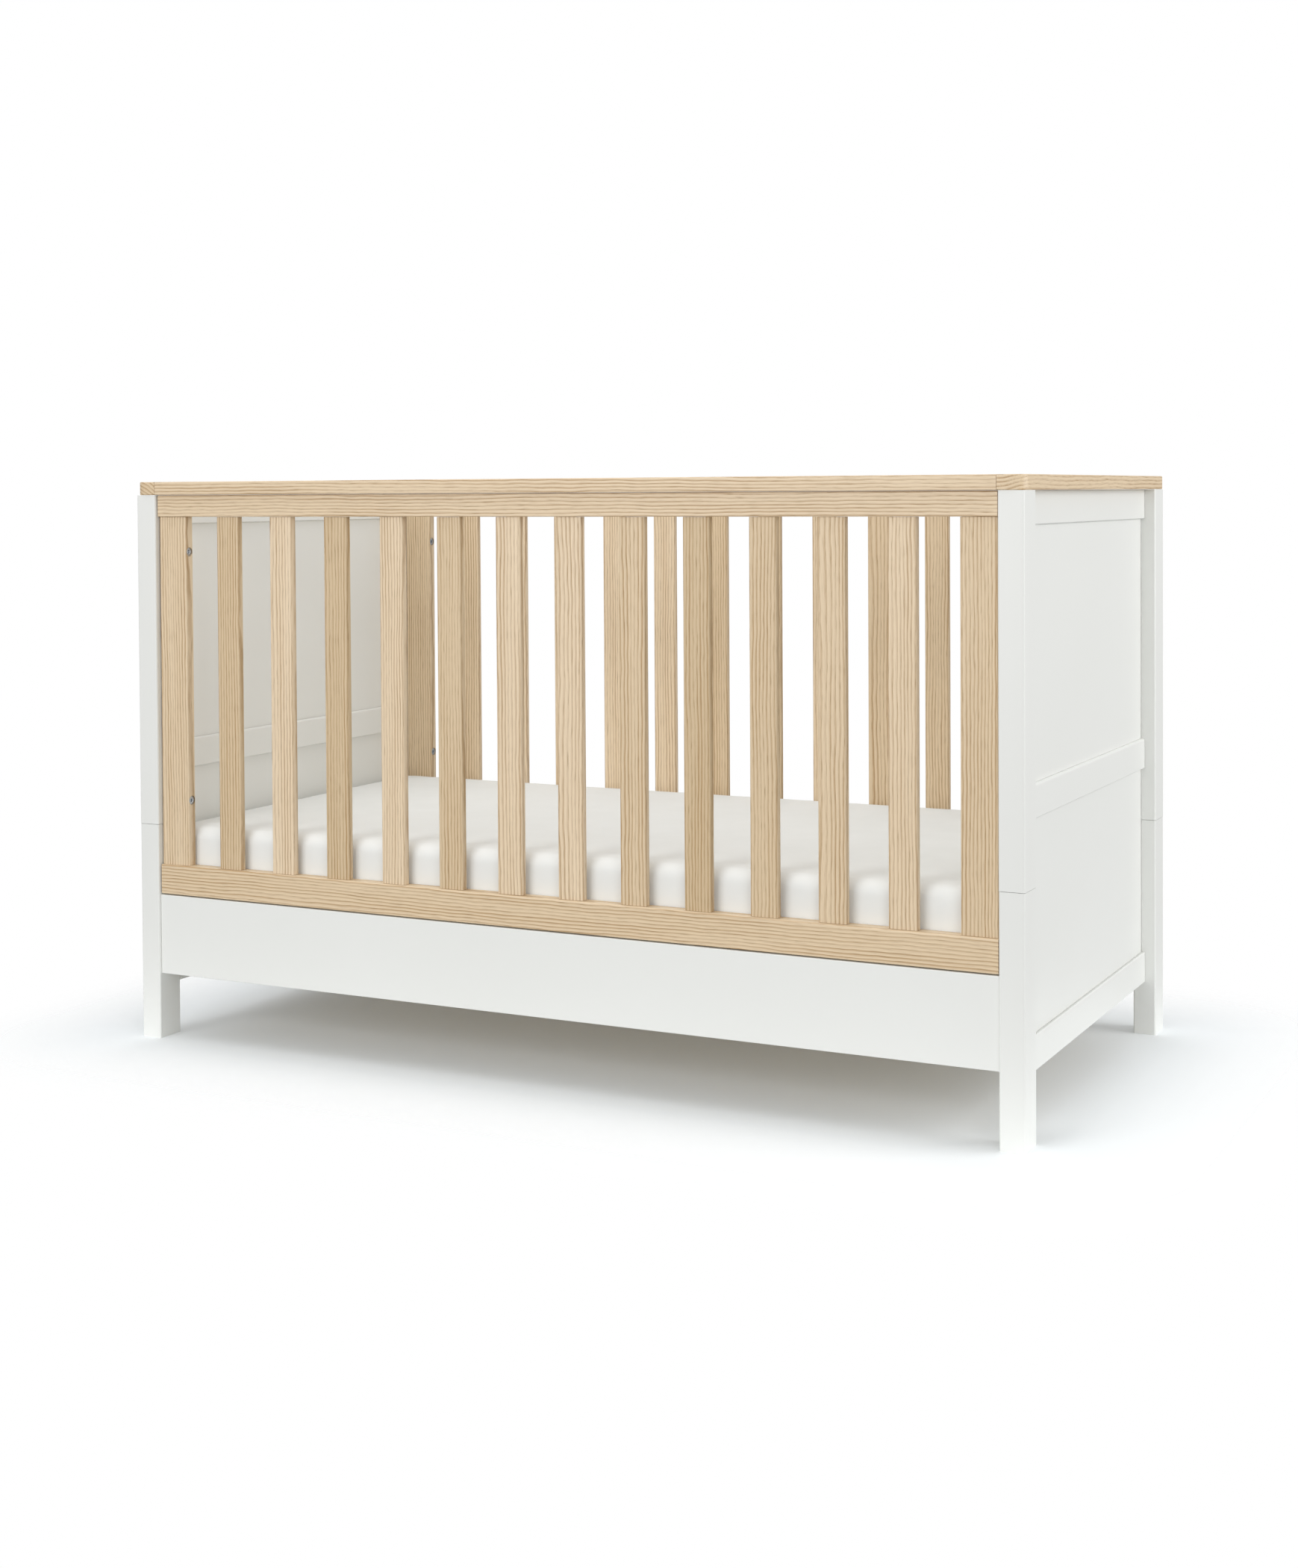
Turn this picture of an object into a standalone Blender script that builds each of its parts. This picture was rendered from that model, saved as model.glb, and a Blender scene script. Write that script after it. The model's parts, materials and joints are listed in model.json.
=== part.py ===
"""A baby cot that turns into a small bed: a painted lower frame, a lift-off upper cage with two
slatted ash sides, a height-adjustable slatted base and a mattress.

X runs along the cot, Y from its front to its rear and Z up. The origin is on the floor under the
middle of the cot. Everything is in metres.
"""

import math

import bmesh
import bpy
from mathutils import Matrix, Vector

# Overall
LENGTH = 1.480  # over the posts
WIDTH = 0.758  # over the posts
HEIGHT = 0.900
GAP = 0.0003  # between pieces that touch

# Posts and legs
POST_X = 0.037
POST_Y = 0.052
POST_ROUND = 0.003
SEAM = 0.347  # height of the joint between a leg and its upper post
SEAM_GAP = 0.0006
LEG_SHRINK = 0.0003  # the leg is this much slimmer all round than the post on it
DOWEL_RADIUS = 0.005
DOWEL_HOLE_DEPTH = 0.025

# Caps
CAP_HEIGHT = 0.021
CAP_OVERHANG = 0.002
CAP_CORNER = 0.020
CAP_EDGE = 0.0015
CAP_CORNER_STEPS = 8
CAP_INNER = 0.0005  # how far an end cap reaches in past its posts, and its gap to a side cap
SIDE_CAP_DEPTH = 0.030

# Ends: frame and panel
END_RAIL_SET_IN = 0.0175  # from the post's outer face
END_RAIL_DEPTH = 0.0192
BOTTOM_RAIL_LOW = 0.085
BOTTOM_RAIL_HIGH = 0.1335
MIDDLE_RAIL_LOW = 0.4305
MIDDLE_RAIL_HIGH = 0.4785
TOP_RAIL_LOW = 0.832
MIDDLE_RAIL_ROUND = 0.004
EDGE_ROUND = 0.0015
PANEL_SET_IN = 0.006  # from the rail's outer face
PANEL_DEPTH = 0.007
GROOVE_DEPTH = 0.0065
PANEL_TONGUE = 0.006

# Painted rails between the legs
LOWER_RAIL_LOW = 0.105
LOWER_RAIL_HIGH = 0.233
LOWER_RAIL_DEPTH = 0.022
LOWER_RAIL_SET_IN = 0.005  # from the post's outer face

# Slatted sides
SIDE_END_GAP = 0.0015
SIDE_RAIL_DEPTH = 0.0215
SIDE_RAIL_SET_IN = 0.005
SIDE_BOTTOM_LOW = 0.235
SIDE_BOTTOM_HIGH = 0.2825
SIDE_TOP_LOW = 0.844
LEDGE_ROUND = 0.003
LEDGE_STEPS = 5
SLAT_SET_BACK = 0.0035  # from the rail's outer face
SLAT_WIDTH = 0.042
SLAT_DEPTH = 0.013
SLAT_COUNT = 12
SLAT_ROUND = 0.003
STILE_WIDTH = 0.0535
STILE_DEPTH = 0.018
TENON = 0.012
SHOULDER = 0.0025  # less than the rounding, so that the tenon keeps its outline
BOLT_HEIGHTS = (0.3875, 0.7875)
BOLT_RADIUS = 0.0034
BOLT_HEAD_RADIUS = 0.0073
BOLT_HEAD_DEPTH = 0.006
BOLT_IN_POST = 0.028
CLEAR = 0.010  # how far a cutter runs past the face that it opens

# Base and mattress
BASE_TOP = 0.243
BASE_LENGTH = 1.396
BASE_WIDTH = 0.696
BASE_HEIGHT = 0.038
BASE_BAR = 0.033
BASE_REBATE = 0.012
BASE_SLAT_COUNT = 13
BASE_SLAT_WIDTH = 0.060
BASE_SLAT_DEPTH = 0.009
TAPE_WIDTH = 0.025
TAPE_DEPTH = 0.0015
TAPE_IN_SLAT = 0.0005
TAPE_Y = 0.190
MATTRESS_LENGTH = 1.400
MATTRESS_WIDTH = 0.700
MATTRESS_DEPTH = 0.100
MATTRESS_ROUND = 0.018
MATTRESS_ROUND_STEPS = 4

# Finishes: base colour, then roughness
PAINT = ((0.80, 0.79, 0.76), 0.35)
ASH = ((0.62, 0.45, 0.28), 0.5)
BASE_WOOD = ((0.60, 0.47, 0.33), 0.6)
COTTON = ((0.85, 0.85, 0.83), 0.9)

SIDES = {"front": -1, "rear": 1}
ENDS = {"left": -1, "right": 1}

CAP_LOW = HEIGHT - CAP_HEIGHT
POST_INNER_X = LENGTH / 2 - POST_X
POST_INNER_Y = WIDTH / 2 - POST_Y
PANEL_OUTER_X = LENGTH / 2 - END_RAIL_SET_IN - PANEL_SET_IN
SIDE_HALF = POST_INNER_X - SIDE_END_GAP
STILE_INNER_X = SIDE_HALF - STILE_WIDTH
SIDE_FACE_Y = WIDTH / 2 - SIDE_RAIL_SET_IN
SLAT_FACE_Y = SIDE_FACE_Y - SLAT_SET_BACK
BOLT_Y = SLAT_FACE_Y - STILE_DEPTH / 2
ALONG_X = Matrix.Rotation(math.radians(90), 4, "Y")


def new_collection(name):
    collection = bpy.data.collections.new(name)
    bpy.context.scene.collection.children.link(collection)
    return collection


for item in list(bpy.data.objects):
    bpy.data.objects.remove(item)
COT = new_collection("baby_cot")
CUTTERS = new_collection("cutters")


def group_empty(name, height, parent=None):
    """An empty on the vertical axis that a group of pieces slides along."""
    empty = bpy.data.objects.new(name, None)
    COT.objects.link(empty)
    empty.parent = parent
    empty.location = (0, 0, height - in_world(parent).z)
    return empty


def in_world(item):
    """Where an object is, counting the empties above it."""
    place = Vector((0, 0, 0))
    while item:
        place += Vector(item.location)
        item = item.parent
    return place


def new_object(name, shape, collection):
    mesh = bpy.data.meshes.new(name)
    shape.to_mesh(mesh)
    shape.free()
    item = bpy.data.objects.new(name, mesh)
    collection.objects.link(item)
    return item


def give_finish(piece, finish):
    colour, roughness = finish
    material = bpy.data.materials.new(piece.name + "_finish")
    material.use_nodes = True
    shader = material.node_tree.nodes["Principled BSDF"]
    shader.inputs["Base Color"].default_value = (*colour, 1)
    shader.inputs["Roughness"].default_value = roughness
    shader.inputs["Metallic"].default_value = 0
    piece.data.materials.append(material)


def middle_and_size(x, y, z):
    """The middle and the size of a box given by its two ends along each axis, in either order."""
    middle = Vector(((x[0] + x[1]) / 2, (y[0] + y[1]) / 2, (z[0] + z[1]) / 2))
    size = Vector((abs(x[1] - x[0]), abs(y[1] - y[0]), abs(z[1] - z[0])))
    return middle, size


def block(name, x, y, z, group, finish=PAINT):
    """A rectangular piece, given by its two ends along each axis."""
    middle, size = middle_and_size(x, y, z)
    shape = bmesh.new()
    bmesh.ops.create_cube(shape, size=1, matrix=Matrix.Diagonal((*size, 1)))
    piece = new_object(name, shape, COT)
    piece.parent = group
    piece.location = middle - in_world(group)
    give_finish(piece, finish)
    return piece


def round_edges(piece, axis, radius, where=None, segments=3):
    """Round a block's own edges along one axis.

    where gets two flags for each edge, telling whether it is on the high side of the other two axes.
    """
    shape = bmesh.new()
    shape.from_mesh(piece.data)
    first, second = [i for i in range(3) if i != axis]
    half = [max(vertex.co[i] for vertex in shape.verts) for i in range(3)]
    picked = []
    for edge in shape.edges:
        middle = (edge.verts[0].co + edge.verts[1].co) / 2
        at_corner = all(abs(abs(middle[i]) - half[i]) < 1e-6 for i in (first, second))
        if at_corner and (where is None or where(middle[first] > 0, middle[second] > 0)):
            picked.append(edge)
    bmesh.ops.bevel(shape, geom=picked, offset=radius, segments=segments, profile=0.5, affect="EDGES")
    shape.to_mesh(piece.data)
    shape.free()
    shade(piece)


def shade(piece):
    piece.data.shade_smooth()
    piece.data.set_sharp_from_angle(angle=math.radians(35))


def add_tenons(piece, shoulder, length):
    """Draw a shouldered tenon out of each end of an upright bar."""
    shape = bmesh.new()
    shape.from_mesh(piece.data)
    for end in (-1, 1):
        shape.faces.ensure_lookup_table()
        face = max(shape.faces, key=lambda f: end * f.calc_center_median().z)
        bmesh.ops.inset_region(shape, faces=[face], thickness=shoulder, use_even_offset=True)
        drawn = bmesh.ops.extrude_face_region(shape, geom=[face])
        tip = [v for v in drawn["geom"] if isinstance(v, bmesh.types.BMVert)]
        bmesh.ops.translate(shape, verts=tip, vec=(0, 0, end * length))
        bmesh.ops.delete(shape, geom=[face], context="FACES_ONLY")
    bmesh.ops.recalc_face_normals(shape, faces=shape.faces)
    shape.to_mesh(piece.data)
    shape.free()
    shade(piece)


def combine(piece, shape, use, operation="DIFFERENCE"):
    """Take a helper's shape out of a piece, or add it."""
    helper = new_object(f"{piece.name}_{use}", shape, CUTTERS)
    helper.hide_render = True
    helper.display_type = "WIRE"
    modifier = piece.modifiers.new(use, "BOOLEAN")
    modifier.operation = operation
    modifier.solver = "EXACT"
    modifier.object = helper


def boxes_shape(boxes):
    """Several boxes in one shape, each given by its two ends along each axis."""
    shape = bmesh.new()
    for x, y, z in boxes:
        middle, size = middle_and_size(x, y, z)
        matrix = Matrix.Translation(middle) @ Matrix.Diagonal((*size, 1))
        bmesh.ops.create_cube(shape, size=1, matrix=matrix)
    return shape


def cut_holes(piece, holes, use, turn=None, segments=20):
    """Drill upright round holes, or turned ones: each is its middle, its radius and its length."""
    shape = bmesh.new()
    for middle, radius, length in holes:
        bmesh.ops.create_cone(
            shape,
            cap_ends=True,
            segments=segments,
            radius1=radius,
            radius2=radius,
            depth=length,
            matrix=Matrix.Translation(middle) @ (turn or Matrix.Identity(4)),
        )
    combine(piece, shape, use)


def run(start, length, sign=1):
    """The two ends of a run from a place outwards, or inwards for a negative length."""
    return sign * start, sign * (start + length)


def panel_groove(end_sign):
    """The groove's width along X, which holds the panel's edge with a little play."""
    return run(PANEL_OUTER_X + GAP, -PANEL_DEPTH - 2 * GAP, end_sign)


def cut_post_groove(post, end_sign, side_sign, z):
    y = run(POST_INNER_Y + GROOVE_DEPTH, -GROOVE_DEPTH - CLEAR, side_sign)
    combine(post, boxes_shape([(panel_groove(end_sign), y, z)]), "groove")


def cut_dowel_hole(post, end_sign, side_sign):
    middle = (end_sign * (LENGTH - POST_X) / 2, side_sign * (WIDTH - POST_Y) / 2, SEAM)
    cut_holes(post, [(middle, DOWEL_RADIUS + GAP, 2 * DOWEL_HOLE_DEPTH)], "dowel_hole")


def make_leg(group, end, side):
    """A leg, a hair slimmer than the post that stands on it."""
    end_sign, side_sign = ENDS[end], SIDES[side]
    x = run(LENGTH / 2 - LEG_SHRINK, 2 * LEG_SHRINK - POST_X, end_sign)
    y = run(WIDTH / 2 - LEG_SHRINK, 2 * LEG_SHRINK - POST_Y, side_sign)
    leg = block(f"leg_{side}_{end}", x, y, (0, SEAM - SEAM_GAP / 2), group)
    round_edges(leg, 2, POST_ROUND)
    cut_post_groove(leg, end_sign, side_sign, (BOTTOM_RAIL_HIGH - PANEL_TONGUE - GAP, SEAM + CLEAR))
    cut_dowel_hole(leg, end_sign, side_sign)


def make_upper_post(group, end, side):
    """An upper post, grooved for both panels and drilled for its dowel and the side's two bolts."""
    end_sign, side_sign = ENDS[end], SIDES[side]
    x = run(LENGTH / 2, -POST_X, end_sign)
    y = run(WIDTH / 2, -POST_Y, side_sign)
    post = block(f"upper_post_{side}_{end}", x, y, (SEAM + SEAM_GAP / 2, CAP_LOW - GAP), group)
    round_edges(post, 2, POST_ROUND)
    cut_post_groove(post, end_sign, side_sign, (SEAM - CLEAR, TOP_RAIL_LOW + PANEL_TONGUE + GAP))
    cut_dowel_hole(post, end_sign, side_sign)
    bolt_middle = end_sign * (POST_INNER_X + (BOLT_IN_POST - CLEAR) / 2)
    length = BOLT_IN_POST + CLEAR
    holes = [((bolt_middle, side_sign * BOLT_Y, z), BOLT_RADIUS, length) for z in BOLT_HEIGHTS]
    cut_holes(post, holes, "bolt_holes", ALONG_X)


def make_end_rail(name, group, end_sign, z, half_length, groove_heights):
    """A painted rail across an end, grooved along its edges for the panels."""
    x = run(LENGTH / 2 - END_RAIL_SET_IN, -END_RAIL_DEPTH, end_sign)
    rail = block(name, x, (-half_length, half_length), z, group)
    grooves = [(panel_groove(end_sign), (-1, 1), heights) for heights in groove_heights]
    combine(rail, boxes_shape(grooves), "grooves")
    return rail


def make_panel(name, group, end_sign, low, high):
    """A thin painted panel whose edges sit in the grooves round it."""
    half_width = POST_INNER_Y + PANEL_TONGUE
    z = (low - PANEL_TONGUE, high + PANEL_TONGUE)
    block(name, run(PANEL_OUTER_X, -PANEL_DEPTH, end_sign), (-half_width, half_width), z, group)


def make_lower_end(group, end):
    end_sign = ENDS[end]
    top_groove = (BOTTOM_RAIL_HIGH - GROOVE_DEPTH, BOTTOM_RAIL_HIGH + CLEAR)
    z = (BOTTOM_RAIL_LOW, BOTTOM_RAIL_HIGH)
    rail = make_end_rail(f"end_bottom_rail_{end}", group, end_sign, z, POST_INNER_Y, [top_groove])
    round_edges(rail, 1, EDGE_ROUND)
    make_panel(f"lower_panel_{end}", group, end_sign, BOTTOM_RAIL_HIGH, MIDDLE_RAIL_LOW)


def make_upper_end(group, end):
    end_sign = ENDS[end]
    half_length = POST_INNER_Y - GAP
    low_groove = (MIDDLE_RAIL_LOW - CLEAR, MIDDLE_RAIL_LOW + GROOVE_DEPTH)
    high_groove = (MIDDLE_RAIL_HIGH - GROOVE_DEPTH, MIDDLE_RAIL_HIGH + CLEAR)
    z = (MIDDLE_RAIL_LOW, MIDDLE_RAIL_HIGH)
    grooves = [low_groove, high_groove]
    middle = make_end_rail(f"end_middle_rail_{end}", group, end_sign, z, half_length, grooves)
    round_edges(middle, 1, MIDDLE_RAIL_ROUND, where=lambda x_high, z_high: z_high)
    round_edges(middle, 1, EDGE_ROUND, where=lambda x_high, z_high: not z_high)
    groove = (TOP_RAIL_LOW - CLEAR, TOP_RAIL_LOW + GROOVE_DEPTH)
    z = (TOP_RAIL_LOW, CAP_LOW - GAP)
    top = make_end_rail(f"end_top_rail_{end}", group, end_sign, z, half_length, [groove])
    round_edges(top, 1, EDGE_ROUND)
    make_panel(f"upper_panel_{end}", group, end_sign, MIDDLE_RAIL_HIGH, TOP_RAIL_LOW)
    make_end_cap(group, end)


def make_end_cap(group, end):
    """A wooden cap over an end, rounded in plan at its two outer corners."""
    end_sign = ENDS[end]
    half_width = WIDTH / 2 + CAP_OVERHANG
    x = (end_sign * (LENGTH / 2 + CAP_OVERHANG), end_sign * (POST_INNER_X - CAP_INNER))
    cap = block(f"end_cap_{end}", x, (-half_width, half_width), (CAP_LOW, HEIGHT), group, ASH)
    def outer(x_high, y_high):
        return x_high == (end_sign > 0)

    round_edges(cap, 2, CAP_CORNER, where=outer, segments=CAP_CORNER_STEPS)
    round_rim(cap, CAP_EDGE)


def round_rim(piece, radius, segments=2):
    """Soften every edge round the top and the bottom of an upright slab."""
    shape = bmesh.new()
    shape.from_mesh(piece.data)
    top = max(vertex.co.z for vertex in shape.verts)
    rim = [edge for edge in shape.edges if abs(edge.verts[0].co.z - edge.verts[1].co.z) < 1e-6]
    rim = [edge for edge in rim if abs(abs(edge.verts[0].co.z) - top) < 1e-6]
    bmesh.ops.bevel(shape, geom=rim, offset=radius, segments=segments, profile=0.5, affect="EDGES")
    shape.to_mesh(piece.data)
    shape.free()
    shade(piece)


def make_lower_side_rail(group, side):
    """The deep painted rail between two legs, flush with their faces."""
    y = run(WIDTH / 2 - LOWER_RAIL_SET_IN, -LOWER_RAIL_DEPTH, SIDES[side])
    z = (LOWER_RAIL_LOW, LOWER_RAIL_HIGH)
    rail = block(f"lower_side_rail_{side}", (-POST_INNER_X, POST_INNER_X), y, z, group)
    round_edges(rail, 0, EDGE_ROUND)


def upright_places():
    """The X runs of a side's two stiles and of the slats spread evenly between them."""
    stiles = {end: run(STILE_INNER_X, STILE_WIDTH, sign) for end, sign in ENDS.items()}
    space = (2 * STILE_INNER_X - SLAT_COUNT * SLAT_WIDTH) / (SLAT_COUNT + 1)
    slats = []
    for i in range(SLAT_COUNT):
        low = -STILE_INNER_X + space + i * (space + SLAT_WIDTH)
        slats.append((low, low + SLAT_WIDTH))
    return stiles, slats


def mortise(x, depth, side_sign, z):
    """The pocket for one upright's tenon, with a little play all round."""
    low, high = min(x) + SHOULDER - GAP, max(x) - SHOULDER + GAP
    y = run(SLAT_FACE_Y - SHOULDER + GAP, 2 * SHOULDER - depth - 2 * GAP, side_sign)
    return (low, high), y, z


def make_side(group, side):
    """A slatted side: a cap, two rails, two bolted stiles and the slats, tenoned into the rails."""
    sign = SIDES[side]
    stiles, slats = upright_places()
    y = run(SIDE_FACE_Y, -SIDE_RAIL_DEPTH, sign)
    x = (-SIDE_HALF, SIDE_HALF)
    top = block(f"side_top_rail_{side}", x, y, (SIDE_TOP_LOW, CAP_LOW - GAP), group, ASH)
    bottom = block(f"side_bottom_rail_{side}", x, y, (SIDE_BOTTOM_LOW, SIDE_BOTTOM_HIGH), group, ASH)
    round_edges(top, 0, EDGE_ROUND)

    def ledge(y_high, z_high):
        return z_high and y_high == (sign > 0)

    round_edges(bottom, 0, LEDGE_ROUND, where=ledge, segments=LEDGE_STEPS)
    round_edges(bottom, 0, EDGE_ROUND, where=lambda y_high, z_high: not ledge(y_high, z_high))
    pockets = {
        top: (SIDE_TOP_LOW - CLEAR, SIDE_TOP_LOW + TENON),
        bottom: (SIDE_BOTTOM_HIGH - TENON, SIDE_BOTTOM_HIGH + CLEAR),
    }
    for rail, z in pockets.items():
        holes = [mortise(run_x, STILE_DEPTH, sign, z) for run_x in stiles.values()]
        holes += [mortise(run_x, SLAT_DEPTH, sign, z) for run_x in slats]
        combine(rail, boxes_shape(holes), "mortises")
    for number, run_x in enumerate(slats, 1):
        make_upright(f"slat_{side}_{number}", group, run_x, SLAT_DEPTH, sign)
    for end, run_x in stiles.items():
        stile = make_upright(f"stile_{side}_{end}", group, run_x, STILE_DEPTH, sign)
        cut_bolt_seats(stile, ENDS[end], sign)
    cap_half = POST_INNER_X - 2 * CAP_INNER
    y = run(WIDTH / 2 + CAP_OVERHANG, -SIDE_CAP_DEPTH, sign)
    cap = block(f"side_cap_{side}", (-cap_half, cap_half), y, (CAP_LOW, HEIGHT), group, ASH)
    round_edges(cap, 0, CAP_EDGE, segments=2)


def make_upright(name, group, x, depth, side_sign):
    """A slat or a stile, with its front edges softened and a tenon at each end."""
    y = run(SLAT_FACE_Y, -depth, side_sign)
    z = (SIDE_BOTTOM_HIGH + GAP, SIDE_TOP_LOW - GAP)
    upright = block(name, x, y, z, group, ASH)
    round_edges(upright, 2, SLAT_ROUND)
    add_tenons(upright, SHOULDER, TENON)
    return upright


def cut_bolt_seats(stile, end_sign, side_sign):
    """The two bolt holes through a stile and the recesses for their heads in its inner edge."""
    length = STILE_WIDTH + 2 * CLEAR
    middle = end_sign * (STILE_INNER_X + STILE_WIDTH / 2)
    holes = [((middle, side_sign * BOLT_Y, height), BOLT_RADIUS, length) for height in BOLT_HEIGHTS]
    cut_holes(stile, holes, "bolt_holes", ALONG_X)
    length = BOLT_HEAD_DEPTH + CLEAR
    middle = end_sign * (STILE_INNER_X + (BOLT_HEAD_DEPTH - CLEAR) / 2)
    holes = [((middle, side_sign * BOLT_Y, height), BOLT_HEAD_RADIUS, length) for height in BOLT_HEIGHTS]
    cut_holes(stile, holes, "head_recesses", ALONG_X, segments=24)


def make_base(group):
    """The mattress base: a rebated frame, and cross slats that two tapes hold at their spacing."""
    low = BASE_TOP - BASE_HEIGHT
    half_x, half_y = BASE_LENGTH / 2, BASE_WIDTH / 2
    frame = block("base_frame", (-half_x, half_x), (-half_y, half_y), (low, BASE_TOP), group, BASE_WOOD)
    round_rim(frame, EDGE_ROUND)
    inner_x, inner_y = half_x - BASE_BAR, half_y - BASE_BAR
    opening = ((-inner_x, inner_x), (-inner_y, inner_y), (low - CLEAR, BASE_TOP + CLEAR))
    combine(frame, boxes_shape([opening]), "opening")
    seat_x, seat_y = inner_x + BASE_REBATE, inner_y + BASE_REBATE
    seat_low = BASE_TOP - BASE_SLAT_DEPTH - GAP
    seat = ((-seat_x, seat_x), (-seat_y, seat_y), (seat_low, BASE_TOP + CLEAR))
    combine(frame, boxes_shape([seat]), "rebate")

    slat_low = BASE_TOP - BASE_SLAT_DEPTH
    first = -seat_x + GAP
    pitch = (2 * (seat_x - GAP) - BASE_SLAT_WIDTH) / (BASE_SLAT_COUNT - 1)
    half_slat = seat_y - GAP
    y, z = (-half_slat, half_slat), (slat_low, BASE_TOP)
    starts = [first + i * pitch for i in range(BASE_SLAT_COUNT)]
    first_slat, *other_slats = [((start, start + BASE_SLAT_WIDTH), y, z) for start in starts]
    deck = block("base_slat_deck", *first_slat, group, BASE_WOOD)
    combine(deck, boxes_shape(other_slats), "other_slats", "UNION")
    ends = (first + TAPE_WIDTH, -first - TAPE_WIDTH)
    tapes = [
        (ends, run(TAPE_Y, TAPE_WIDTH, sign), (slat_low - TAPE_DEPTH, slat_low + TAPE_IN_SLAT))
        for sign in SIDES.values()
    ]
    combine(deck, boxes_shape(tapes), "tapes", "UNION")


def make_mattress(group):
    half_x, half_y = MATTRESS_LENGTH / 2, MATTRESS_WIDTH / 2
    z = (BASE_TOP + GAP, BASE_TOP + GAP + MATTRESS_DEPTH)
    mattress = block("mattress", (-half_x, half_x), (-half_y, half_y), z, group, COTTON)
    rounding = mattress.modifiers.new("rounding", "BEVEL")
    rounding.width = MATTRESS_ROUND
    rounding.segments = MATTRESS_ROUND_STEPS
    mattress.data.shade_smooth()


lower_frame = group_empty("lower_frame", 0)
upper_cage = group_empty("upper_cage", SEAM, lower_frame)
base_lift = group_empty("base_lift", BASE_TOP, lower_frame)
mattress_lift = group_empty("mattress_lift", BASE_TOP + GAP, base_lift)

for end_name in ENDS:
    make_lower_end(lower_frame, end_name)
    make_upper_end(upper_cage, end_name)
    for side_name in SIDES:
        make_leg(lower_frame, end_name, side_name)
        make_upper_post(upper_cage, end_name, side_name)
for side_name in SIDES:
    make_lower_side_rail(lower_frame, side_name)
    make_side(upper_cage, side_name)
make_base(base_lift)
make_mattress(mattress_lift)
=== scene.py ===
"""The looks of a baby cot: white lacquered ends and legs, slatted ash sides and caps, and a
mattress in a fitted sheet. Metres, X along the cot, Y from its front to its rear, Z up.
"""

import json
import math
import random

import bmesh
import bpy
from mathutils import Matrix, Vector, noise

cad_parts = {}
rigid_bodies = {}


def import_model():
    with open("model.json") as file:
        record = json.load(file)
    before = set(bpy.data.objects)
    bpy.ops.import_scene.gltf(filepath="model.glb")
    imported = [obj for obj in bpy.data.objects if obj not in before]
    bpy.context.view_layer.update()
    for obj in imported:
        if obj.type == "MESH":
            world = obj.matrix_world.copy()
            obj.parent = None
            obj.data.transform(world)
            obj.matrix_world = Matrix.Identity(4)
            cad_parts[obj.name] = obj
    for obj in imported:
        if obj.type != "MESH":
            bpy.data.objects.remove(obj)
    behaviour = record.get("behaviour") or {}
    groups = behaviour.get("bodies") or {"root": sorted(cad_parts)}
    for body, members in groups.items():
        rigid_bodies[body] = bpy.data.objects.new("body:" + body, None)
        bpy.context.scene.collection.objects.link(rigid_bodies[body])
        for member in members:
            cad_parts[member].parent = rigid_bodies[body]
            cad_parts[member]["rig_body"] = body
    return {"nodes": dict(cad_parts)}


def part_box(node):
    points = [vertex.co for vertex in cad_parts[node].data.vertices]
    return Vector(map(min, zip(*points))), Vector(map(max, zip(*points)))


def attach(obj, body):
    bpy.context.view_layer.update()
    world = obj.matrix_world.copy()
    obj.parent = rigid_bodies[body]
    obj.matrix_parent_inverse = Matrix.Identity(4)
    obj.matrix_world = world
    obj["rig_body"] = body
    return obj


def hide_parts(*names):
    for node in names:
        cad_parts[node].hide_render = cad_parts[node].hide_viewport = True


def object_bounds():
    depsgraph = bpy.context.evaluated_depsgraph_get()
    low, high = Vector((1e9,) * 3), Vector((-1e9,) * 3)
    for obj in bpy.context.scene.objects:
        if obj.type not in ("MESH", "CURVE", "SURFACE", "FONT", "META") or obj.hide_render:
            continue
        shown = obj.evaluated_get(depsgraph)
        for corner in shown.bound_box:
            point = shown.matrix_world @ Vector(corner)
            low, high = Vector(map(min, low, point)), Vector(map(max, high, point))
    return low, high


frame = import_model()
CAD_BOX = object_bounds()
NODES = frame["nodes"]


# ---- Lower frame -------------------------------------------------------------------------------
# Four beech legs, the two bottom rails and panels of the ends, and a deep rail along each side.
# MDF and beech, glued and dowelled, sprayed with a white satin lacquer and rubbed flat.

PAINT_WHITE = "#eff0ed"
PAINT_SHADE = "#eaebe7"
COAT_DRIFT = 0.4  # how far apart the coats are a shade lighter or darker
FILM_WAVE = 0.004  # the flow of the sprayed film, coarser than the real 1 mm so that it shows
SOFT_ANGLE = math.radians(35)


def linear(shade):
    """A linear colour with full alpha, from an sRGB hex value."""
    channels = [int(shade[i : i + 2], 16) / 255 for i in (1, 3, 5)]
    return [c / 12.92 if c <= 0.04045 else ((c + 0.055) / 1.055) ** 2.4 for c in channels] + [1]


def add_node(tree, kind, inputs=None, **settings):
    """Add a node. Each input takes a value, or the output socket that feeds it."""
    made = tree.nodes.new(kind)
    for name, value in settings.items():
        setattr(made, name, value)
    for name, value in (inputs or {}).items():
        if isinstance(value, bpy.types.NodeSocket):
            tree.links.new(value, made.inputs[name])
        else:
            made.inputs[name].default_value = value
    return made


def new_material(name):
    """A material with only its output, and its node tree."""
    material = bpy.data.materials.new(name)
    material.use_nodes = True
    material.node_tree.nodes.clear()
    return material, material.node_tree


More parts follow.
